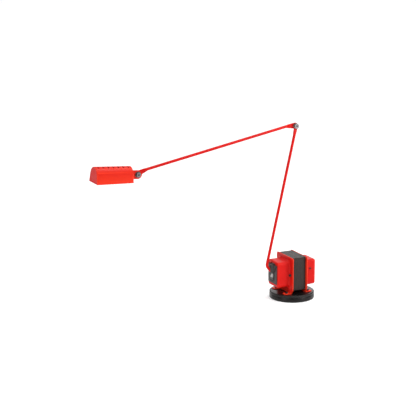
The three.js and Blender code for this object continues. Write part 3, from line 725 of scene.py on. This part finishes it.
def socket_screw(node, axis, way, head, shank, key):
    """A button-head screw with a hexagon socket. way is the side that its head faces."""
    low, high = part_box(node)
    centre = (low + high) / 2
    index = "XYZ".index(axis)
    length = high[index] - low[index]
    centre[index] = high[index] if way > 0 else low[index]
    radius = max(high[k] - low[k] for k in range(3) if k != index) / 2
    count, soft = 48, 0.25 * head
    rings = [round_ring(key * 0.1, -0.95 * head, count), round_ring(key * 0.6, -0.8 * head, count)]
    rings += [hexagon_ring(key, -0.76 * head, count)]
    rings += [hexagon_ring(key, -0.12 * MM, count), hexagon_ring(key + 0.15 * MM, 0, count)]
    rings += [round_ring(max(radius - 0.45 * radius, key + 0.4 * MM), 0, count)]
    rings += [round_ring(r, h, count) for r, h in arc(radius - soft, -soft, soft, 90, 0, 5)]
    rings += [round_ring(radius, -head + 0.2 * MM, count), round_ring(radius - 0.2 * MM, -head, count)]
    rings += [round_ring(shank, -head, count), round_ring(shank, 0.4 * MM - length, count)]
    rings += [round_ring(shank - 0.4 * MM, -length, count)]
    flip = Matrix() if way > 0 else Matrix.Rotation(math.pi, 4, "X")
    matrix = Matrix.Translation(centre) @ ALONG[axis] @ flip
    return finish(loft(node + "_fine", rings, matrix, smooth=32), node)


def hex_nut(node, axis, hole):
    """A nut with both faces chamfered."""
    low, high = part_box(node)
    centre = (low + high) / 2
    index = "XYZ".index(axis)
    half = (high[index] - low[index]) / 2
    corner = max(high[k] - low[k] for k in range(3) if k != index) / 2
    flat, count, fall = corner * math.cos(math.pi / 6), 72, 0.45 * MM
    rings = [round_ring(hole, -half + 0.3 * MM, count), round_ring(hole + 0.3 * MM, -half, count)]
    rings += [round_ring(flat * 0.97, -half, count)]
    for h in (-half + fall, half - fall):
        rings.append(hexagon_ring(corner, h, count, math.pi / 6))
    rings += [round_ring(flat * 0.97, half, count), round_ring(hole + 0.3 * MM, half, count)]
    rings += [round_ring(hole, half - 0.3 * MM, count)]
    matrix = Matrix.Translation(centre) @ ALONG[axis]
    finish(loft(node + "_fine", rings, matrix, closed=True, smooth=28), node)


def washer(node, hole):
    low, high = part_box(node)
    centre = (low + high) / 2
    radius, half, soft = (high.x - low.x) / 2, (high.y - low.y) / 2, 0.2 * MM
    profile = [(hole, -half), (radius - soft, -half), (radius, soft - half), (radius, half - soft)]
    profile += [(radius - soft, half), (hole, half), (hole, -half)]
    finish(revolve(node + "_fine", profile, "Y", centre, 72), node)


def fasteners():
    for name in ("core_bolt_front", "core_bolt_back"):
        socket_screw(name, "X", -1, head=3 * MM, shank=2 * MM, key=1.6 * MM)
    for name in ("core_nut_front", "core_nut_back"):
        hex_nut(name, "X", BOLT_HOLE)
    for number in range(1, 5):
        socket_screw(f"foot_screw_{number}", "Z", 1, head=2.2 * MM, shank=2 * MM, key=1.7 * MM)
    socket_screw("cover_side_screw", "Y", -1, head=1.6 * MM, shank=1.25 * MM, key=MM)
    for place_name in ("elbow", "head"):
        socket_screw(place_name + "_bolt", "Y", -1, head=2.8 * MM, shank=2 * MM, key=2.3 * MM)
        hex_nut(place_name + "_nut", "Y", BOLT_HOLE)
        for kind in ("washer_front", "washer_back", "friction_washer"):
            washer(f"{place_name}_{kind}", BOLT_HOLE)


# ---- swivel turret ----
DOWN = Vector((-math.sin(LEAN), 0, -math.cos(LEAN)))
ACROSS = Vector((math.cos(LEAN), 0, -math.sin(LEAN)))
TAIL = Vector((-math.sin(LEAN - HOOK_BEND), 0, -math.cos(LEAN - HOOK_BEND)))
BEND_END = PIVOT - TAIL * HOOK_TAIL
EYE, EYE_THICK = 3.8 * MM, 3.2 * MM


def hook_normal(angle):
    """From the hook's centre of curvature out to the tube, at a turn from the bend's top."""
    return Vector((-math.cos(LEAN - angle), 0, math.sin(LEAN - angle)))


BEND_CENTRE = BEND_END - hook_normal(HOOK_BEND) * HOOK_RADIUS
BEND_TOP = BEND_CENTRE + hook_normal(0) * HOOK_RADIUS


def swivel_turret():
    low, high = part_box("swivel_turret")
    radius, soft, top = (high.x - low.x) / 2, 3 * MM, 0.8 * MM
    profile = [(0, low.z)] + arc(radius - soft, low.z + soft, soft, -90, 0, 8)
    profile += arc(radius - top, high.z - top, top, 0, 90, 5) + [(0, high.z)]
    piece = revolve("turret", profile, "Z", (TURRET_X, 0, 0), 96)
    room, slot_half, lean_back = 0.35 * MM, 3.7 * MM, math.radians(5)
    inner = []
    for k in range(9):
        point = BEND_CENTRE + hook_normal(HOOK_BEND * k / 8) * (HOOK_RADIUS - TUBE - room)
        inner.append(Matrix.Rotation(lean_back, 3, "Y") @ (point - PIVOT) + PIVOT)
    eye = EYE + room
    start = math.degrees(math.atan2((inner[-1] - PIVOT).z, (inner[-1] - PIVOT).x))
    outline = [(p.x, p.z) for p in inner] + arc(PIVOT.x, PIVOT.z, eye, start, -90, 8)
    outline += [(PIVOT.x - 20 * MM, PIVOT.z - eye), (PIVOT.x - 20 * MM, inner[0].z)]
    piece = cut(piece, slab("cutter", outline, "Y", -slot_half, slot_half))
    finish(soften(piece, 0.35 * MM, 2, 45), "swivel_turret")


PINS = [("arm_pivot_pin", "Y", 1.5 * MM), ("turret_pin", "Z", 1.5 * MM), ("rocker_axle", "Y", MM)]


def pins():
    for node, axis, radius in PINS:
        low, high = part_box(node)
        index = "XYZ".index(axis)
        half, soft = (high[index] - low[index]) / 2, 0.3 * MM
        profile = [(0, -half), (radius - soft, -half), (radius, soft - half)]
        profile += [(radius, half - soft), (radius - soft, half), (0, half)]
        finish(revolve(node + "_fine", profile, axis, (low + high) / 2, 32), node)


# ---- arms ----
def oval(centre, along, half_width, half_thick, squareness, count=40):
    """A ring across a tube: round at squareness 2, and nearly a flat bar at 6."""
    across = Vector((0, 1, 0)).cross(along).normalized()
    ring = []
    for k in range(count):
        turn = 2 * math.pi * k / count
        c, s = math.cos(turn), math.sin(turn)
        u = math.copysign(abs(c) ** (2 / squareness), c) * half_width
        v = math.copysign(abs(s) ** (2 / squareness), s) * half_thick
        ring.append(centre + across * u + Vector((0, v, 0)))
    return ring


def ease(t):
    return t * t * (3 - 2 * t)


def mix(a, b, t):
    return a + (b - a) * t


def round_end(centre, along, radius, half_thick, squareness, steps=8):
    """Rings that close a flat end with a half circle."""
    rings = []
    for k in range(1, steps + 1):
        turn = math.radians(88 * k / steps)
        rings.append(oval(centre + along * (radius * math.sin(turn)), along, radius * math.cos(turn),
                          half_thick, squareness))
    return rings


def tongue_centre():
    """How far the flat ends lie to each side of the middle plane, and half their thickness."""
    outer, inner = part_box("elbow_washer_back")[0].y - GAP, 0.7 * MM
    return (outer + inner) / 2, (outer - inner) / 2


def elbow_tongue(steps=14):
    """Rings from the rounded flat end at the elbow down to the round tube."""
    offset, half_thick = tongue_centre()
    side = Vector((0, -offset, 0))
    rings = list(reversed(round_end(ELBOW + side, -DOWN, TIP, half_thick, 6)))
    for k in range(steps + 1):
        part = k / steps
        flat = 1 - ease(max(0, (part - 0.25) / 0.75))
        centre = ELBOW + DOWN * TIP_TAPER * part + ACROSS * LOWER_OFFSET * part + side * flat
        width, thick = mix(TIP, TUBE, part), mix(TUBE, half_thick, flat)
        rings.append(oval(centre, -DOWN, width, thick, mix(2, 6, flat)))
    return rings


def hook_bend(steps=14):
    """Rings round the bend at the tube's lower end."""
    rings = []
    for k in range(steps + 1):
        normal = hook_normal(HOOK_BEND * k / steps)
        along = Vector((0, 1, 0)).cross(normal)
        if along.dot(DOWN) > 0:
            along = -along
        rings.append(oval(BEND_CENTRE + normal * HOOK_RADIUS, along, TUBE, TUBE, 2))
    return rings


def hook_eye():
    """Rings from the bend to the flat rounded eye that the pivot pin goes through."""
    rings = []
    for k in range(1, 7):
        t = ease(k / 6)
        centre = BEND_END + TAIL * HOOK_TAIL * k / 6
        width, thick = mix(TUBE, EYE, t), mix(TUBE, EYE_THICK, t)
        rings.append(oval(centre, -TAIL, width, thick, mix(2, 5, t)))
    for k in range(1, 9):
        turn = math.radians(88 * k / 8)
        centre = PIVOT + TAIL * EYE * math.sin(turn)
        rings.append(oval(centre, -TAIL, EYE * math.cos(turn), EYE_THICK, 5))
    return rings


def lower_arm():
    top = ELBOW + ACROSS * LOWER_OFFSET
    length = (BEND_TOP - top).length
    straight = [oval(top + DOWN * length * part, -DOWN, TUBE, TUBE, 2) for part in (0.25, 0.5, 0.75)]
    rings = elbow_tongue() + straight + hook_bend() + hook_eye()
    finish(loft("lower_tube", rings, smooth=45), "lower_arm")


def paddle(end_x, inward, offset, half_thick, steps=14):
    """Rings from the tube to the flat lobe round a bolt. inward points along the tube."""
    weld = Vector((end_x + inward * LOBE_TAPER, 0, UPPER_OFFSET))
    bolt = Vector((end_x, 0, 0))
    along = Vector((-inward, 0, 0))
    rings = []
    for k in range(steps + 1):
        part = k / steps
        flat = ease(min(1, part / 0.5))
        centre = weld.lerp(bolt, part) + Vector((0, offset * flat, 0))
        width, thick = mix(TUBE, LOBE, part), mix(TUBE, half_thick, flat)
        rings.append(oval(centre, along, width, thick, mix(2, 6, flat)))
    return rings + round_end(bolt + Vector((0, offset, 0)), along, LOBE, half_thick, 6, 12)


def upper_arm():
    offset, half_thick = tongue_centre()
    reach = (ELBOW - HEAD).length
    near = paddle(0, -1, offset, half_thick)
    far = paddle(-reach, 1, offset, half_thick)
    middle = []
    for part in (0.25, 0.5, 0.75):
        centre = Vector((-reach * part, 0, UPPER_OFFSET))
        middle.append(oval(centre, Vector((1, 0, 0)), TUBE, TUBE, 2))
    flipped = [mirrored(ring) for ring in far]
    rings = list(reversed(near)) + middle + flipped
    finish(loft("upper_tube", rings, UPPER, smooth=45), "upper_arm")


def mirrored(ring):
    """The same ring, counted the other way round, so that it matches one that faces back."""
    half = len(ring) // 2
    return [ring[(half - k) % len(ring)] for k in range(len(ring))]


# ---- head ----
SHADE_REAR = -17.5 * MM
SHADE_LENGTH = 86.2 * MM
RIM_FRONT, RIM_REAR = -16.8 * MM, -14.5 * MM
ROOF_RADIUS = 20 * MM
ROOF_CENTRE = -1.1 * MM
FLARE = math.radians(11)
CAP = 2.2 * MM


def head_bracket():
    back = SHADE_REAR + GAP
    radius, boss_radius, depth = 9.8 * MM, 8.5 * MM, 3 * MM
    outline = arc(0, 0, radius, 90, -90, 24) + [(back + 1.5 * MM, -radius), (back + 1.5 * MM, radius)]
    offset, half_thick = tongue_centre()
    ear = slab("ear", outline, "Y", -offset - half_thick, -offset + half_thick, SHADE)
    soft = 0.5 * MM
    rim = boss_radius - soft
    profile = [(0, 0), (rim, 0), (boss_radius, soft)]
    profile += [(boss_radius, depth - soft), (rim, depth), (0, depth)]
    boss = revolve("boss", profile, "X", (back, 0, 0), 64)
    boss.data.transform(SHADE)
    whole = join("ear_and_boss", [ear, boss])
    shade_smooth(whole, 38)
    finish(soften(whole, 0.4 * MM, 3, 50), "head_bracket")


def swivel_rivet():
    inside = SHADE_REAR - CAP - GAP
    head, shank, length = 4.2 * MM, 2 * MM, 5.7 * MM
    profile = [(0, -2 * MM), (2.4 * MM, -1.9 * MM), (3.8 * MM, -1.2 * MM), (head, -0.3 * MM), (head, 0)]
    profile += [(shank, 0), (shank, length), (0, length)]
    piece = revolve("rivet", profile, "X", (inside, 0, 0), 48)
    piece.data.transform(SHADE)
    finish(piece, "swivel_rivet")


def wall_at(height, shrink):
    """How far a leaning wall stands from the middle plane."""
    radius = ROOF_RADIUS - shrink
    spring = ROOF_CENTRE + radius * math.sin(FLARE)
    return radius * math.cos(FLARE) + (spring - height) * math.tan(FLARE)


def roof(shrink, steps):
    """The round roof, from one wall's top to the other's."""
    lean = math.degrees(FLARE)
    return arc(0, ROOF_CENTRE, ROOF_RADIUS - shrink, lean, 180 - lean, steps)


def tunnel(low, shrink, steps=40):
    """A round roof that runs smoothly into walls that lean out."""
    half = wall_at(low + shrink, shrink)
    return [(-half, low + shrink), (half, low + shrink)] + roof(shrink, steps)


def shell_ring(x, low):
    """The shell's section, whose lower edges are hemmed inwards."""
    ledge = low + SHADE_WALL
    half, hem, wall = wall_at(low, 0), wall_at(low, 0) - 1.8 * MM, wall_at(ledge, SHADE_WALL)
    outline = [(half, low), *roof(0, 56), (-half, low), (-hem, low), (-hem, ledge), (-wall, ledge)]
    outline += [*reversed(roof(SHADE_WALL, 56)), (wall, ledge), (hem, ledge), (hem, low)]
    return [(x, u, v) for u, v in outline]


def shade_shell():
    front = SHADE_REAR - SHADE_LENGTH + CAP + GAP
    rear = SHADE_REAR - CAP - GAP
    piece = loft("shell", [shell_ring(front, RIM_FRONT), shell_ring(rear, RIM_REAR)])
    count, pitch, width, slot_half = 7, 11.7 * MM, 2.4 * MM, 9 * MM
    top = ROOF_CENTRE + ROOF_RADIUS
    middle = (front + rear) / 2
    for k in range(count):
        x = middle + (k - (count - 1) / 2) * pitch
        slot = rounded(x - width / 2, -slot_half, x + width / 2, slot_half, width / 2 - 0.01 * MM, 6)
        piece = cut(piece, slab("cutter", slot, "Z", top - 6 * MM, top + 5 * MM), 30)
    piece.data.transform(SHADE)
    finish(soften(piece, 0.22 * MM, 2, 50), "shade_shell")


def shade_cap(node, low, outer, inner):
    """An end plate with a rolled rim that stands a little proud."""
    way = 1 if outer > inner else -1
    steps = [(0, inner), (0, outer - way * 0.6 * MM)]
    steps += [(0.2 * MM, outer - way * 0.2 * MM), (0.6 * MM, outer), (1.5 * MM, outer)]
    steps += [(1.8 * MM, outer - way * 0.15 * MM), (2.0 * MM, outer - way * 0.5 * MM)]
    rings = [[(x, u, v) for u, v in tunnel(low, shrink)] for shrink, x in steps]
    finish(loft(node + "_fine", rings, SHADE, smooth=32), node)


def tie_rods():
    for node in ("shade_tie_rod_front", "shade_tie_rod_back"):
        finish(refined(node, 0.2 * MM, 2, 50), node)


def reflector():
    """A parabolic trough: height = vertex - y * y / (4 * focal)."""
    focal, vertex, thick, half = 4.91 * MM, 4.5 * MM, 0.6 * MM, 18.7 * MM

    def curve(drop, narrow, steps=48):
        ys = [(half - narrow) * (2 * k / steps - 1) for k in range(steps + 1)]
        return [(y, vertex - drop - y * y / (4 * focal)) for y in ys]

    front = SHADE_REAR - SHADE_LENGTH + CAP + MM
    rear = BULB_REAR - 0.5 * MM
    outline = curve(0, 0) + list(reversed(curve(thick, thick)))
    piece = slab("trough", outline, "X", front, rear)
    piece.data.transform(SHADE)
    shade_smooth(piece, 50)
    finish(piece, "reflector")


BULB_AXIS = Vector((0, 0, -2.8 * MM))
BULB_REAR = -45 * MM
BULB_RADIUS = 5.75 * MM


def bulb_capsule():
    """A quartz envelope that is hollow, with a pressed foot."""
    length, wall = 36.7 * MM, 0.9 * MM
    radius, inner = BULB_RADIUS, BULB_RADIUS - wall
    foot_end = 9 * MM
    dome = arc(0, length - radius, radius, 0, 84, 10)
    hollow = arc(0, length - radius, inner, 84, 0, 10)
    neck = (3.2 * MM, foot_end - 3 * MM)
    profile = [neck, (4.4 * MM, foot_end - 2 * MM), (radius, foot_end), *dome]
    profile += [(0.25 * MM, length - 0.05 * MM), (0.2 * MM, length - wall), *hollow]
    profile += [(inner, foot_end + 0.6 * MM), (4.0 * MM, foot_end - 1.2 * MM)]
    profile += [(2.6 * MM, foot_end - 2.4 * MM), neck]
    rear = Matrix.Translation(BULB_AXIS + Vector((BULB_REAR, 0, 0)))
    matrix = SHADE @ rear @ Matrix.Rotation(-QUARTER, 4, "Y")
    envelope = revolve("envelope", profile, "Z", (0, 0, 0), 64, smooth=60)
    foot_rings = []
    for height, wide, thick in ((0.2, 4.0, 1.5), (1, 4.3, 1.6), (4.5, 4.3, 1.6), (6.8, 3.4, 2.6)):
        ring = oval(Vector((0, 0, height * MM)), Vector((0, 0, 1)), thick * MM, wide * MM, 4)
        foot_rings.append(ring)
    pressed = loft("pressed_foot", foot_rings, smooth=60)
    whole = join("capsule", [envelope, pressed])
    whole.data.transform(matrix)
    shade_smooth(whole, 60)
    finish(whole, "bulb_capsule")
    filament(matrix, foot_end)


def wire(name, points, radius, matrix):
    """A round wire through points, as a mesh."""
    curve = bpy.data.curves.new(name, "CURVE")
    curve.dimensions = "3D"
    curve.bevel_depth = radius
    curve.bevel_resolution = 3
    curve.use_fill_caps = True
    spline = curve.splines.new("POLY")
    spline.points.add(len(points) - 1)
    for target, point in zip(spline.points, points):
        target.co = (*point, 1)
    holder = bpy.data.objects.new(name, curve)
    bpy.context.scene.collection.objects.link(holder)
    bpy.context.view_layer.update()
    graph = bpy.context.evaluated_depsgraph_get()
    mesh = bpy.data.meshes.new_from_object(holder.evaluated_get(graph))
    bpy.data.objects.remove(holder)
    mesh.transform(matrix)
    piece = bpy.data.objects.new(name, mesh)
    bpy.context.scene.collection.objects.link(piece)
    shade_smooth(piece, 60)
    return piece


def filament(matrix, foot_end):
    """A tungsten coil across the capsule, on two support wires."""
    coil_radius, turns, half = 0.8 * MM, 11, 2.6 * MM
    height = foot_end + 12 * MM
    coil = []
    for k in range(turns * 12 + 1):
        angle = 2 * math.pi * k / 12
        y = mix(-half, half, k / (turns * 12))
        coil.append((coil_radius * math.cos(angle), y, height + coil_radius * math.sin(angle)))
    posts = []
    for side in (-1, 1):
        y = side * (half + 0.3 * MM)
        posts.append([(0, side * 2.2 * MM, foot_end - 1.5 * MM), (0, y, foot_end + 2 * MM),
                      (0, y, height - 0.4 * MM), (coil_radius, side * half, height)])
    parts = [wire("filament_coil", coil, 0.12 * MM, matrix)]
    parts += [wire("filament_post", post, 0.2 * MM, matrix) for post in posts]
    whole = join("filament", parts)
    shade_smooth(whole, 60)
    whole.data.materials.clear()
    whole.data.materials.append(tungsten())
    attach(whole, "shade")


def kept_nodes():
    """Nodes that keep their CAD shape, with rounder edges and the slot's material."""
    widths = {
        "coil_bobbin": 0.3, "primary_winding": 1.2, "secondary_winding": 1.2, "switch_panel": 0.35,
        "switch_body": 0.25, "switch_rocker": 0.45, "pivot_bracket": 0.3, "socket_bracket": 0.25,
        "lamp_socket": 0.4, "switch_terminal_1": 0.15, "switch_terminal_2": 0.15,
        "switch_terminal_3": 0.15, "bulb_pin_front": 0.15, "bulb_pin_back": 0.15,
    }
    for node, width in widths.items():
        finish(refined(node, width * MM), node)


# ---- studio ----
def aimed(thing, location, target):
    thing.location = location
    thing.rotation_mode = "QUATERNION"
    thing.rotation_quaternion = (Vector(target) - Vector(location)).to_track_quat("-Z", "Y")
    bpy.context.scene.collection.objects.link(thing)


def camera():
    turn, rise = math.radians(CAMERA["azimuth"]), math.radians(CAMERA["elevation"])
    back = Vector((math.sin(turn) * math.cos(rise), -math.cos(turn) * math.cos(rise), math.sin(rise)))
    data = bpy.data.cameras.new("camera")
    data.lens = CAMERA["lens"]
    data.sensor_width = 36
    data.clip_start, data.clip_end = 0.05, 100
    thing = bpy.data.objects.new("camera", data)
    aimed(thing, CAMERA_TARGET + back * CAMERA["distance"], CAMERA_TARGET)
    bpy.context.scene.camera = thing


def softbox(name, location, target, size, power):
    data = bpy.data.lights.new(name, "AREA")
    data.shape = "RECTANGLE"
    data.size, data.size_y = size
    data.energy = power
    aimed(bpy.data.objects.new(name, data), location, target)


def pale_floor():
    half = 30
    corners = [(-half, -half, 0), (half, -half, 0), (half, half, 0), (-half, half, 0)]
    floor = make("floor", corners, [(0, 1, 2, 3)])
    glow = {"Emission_Color": (1, 1, 1, 1), "Emission_Strength": 0.33}
    look = Look("pale_floor", 0.7, Specular_IOR_Level=0.1, **glow)
    look.colour(look.mixed(look.noise(3, 2), (0.78, 0.78, 0.78), (0.76, 0.76, 0.76)))
    floor.data.materials.append(look.material)


def bright_sky():
    """A world that is dim along the horizon and bright overhead, like a studio ceiling."""
    world = bpy.data.worlds.new("studio_ceiling")
    world.use_nodes = True
    tree = world.node_tree
    direction = tree.nodes.new("ShaderNodeTexCoord").outputs["Generated"]
    split = tree.nodes.new("ShaderNodeSeparateXYZ")
    ramp = tree.nodes.new("ShaderNodeMapRange")
    ramp.interpolation_type = "SMOOTHSTEP"
    for socket, value in (("From Min", 0.2), ("From Max", 0.75), ("To Min", 0.12), ("To Max", 1.15)):
        ramp.inputs[socket].default_value = value
    tree.links.new(direction, split.inputs["Vector"])
    tree.links.new(split.outputs["Z"], ramp.inputs["Value"])
    tree.links.new(ramp.outputs["Result"], tree.nodes["Background"].inputs["Strength"])
    tree.nodes["Background"].inputs["Color"].default_value = (1, 1, 1, 1)
    bpy.context.scene.world = world


def studio():
    pale_floor()
    bright_sky()
    centre = (-0.1, 0, 0.15)
    softbox("overhead", (0.15, -0.15, 1.8), centre, (1.2, 0.25), 10)
    softbox("left", (-2.4, -1.0, 1.0), centre, (0.7, 1.6), 12)
    softbox("right", (0.45, -0.8, 0.5), centre, (0.4, 0.6), 5.5)
    softbox("behind", (1.95, 2.6, 1.15), centre, (1.5, 1.0), 9)
    bpy.context.scene.view_settings.view_transform = "Standard"


camera()
base_disc()
base_pad()
core_stacks()
folded_cover("switch_cover", ["core_bolt_front", "core_bolt_back"])
folded_cover("rear_cover", ["core_nut_front", "core_nut_back"])
cord_grommet()
fasteners()
swivel_turret()
pins()
lower_arm()
upper_arm()
head_bracket()
swivel_rivet()
shade_shell()
shade_cap("shade_front_cap", RIM_FRONT, SHADE_REAR - SHADE_LENGTH, SHADE_REAR - SHADE_LENGTH + CAP)
shade_cap("shade_rear_cap", RIM_REAR, SHADE_REAR, SHADE_REAR - CAP)
tie_rods()
reflector()
bulb_capsule()
kept_nodes()
studio()
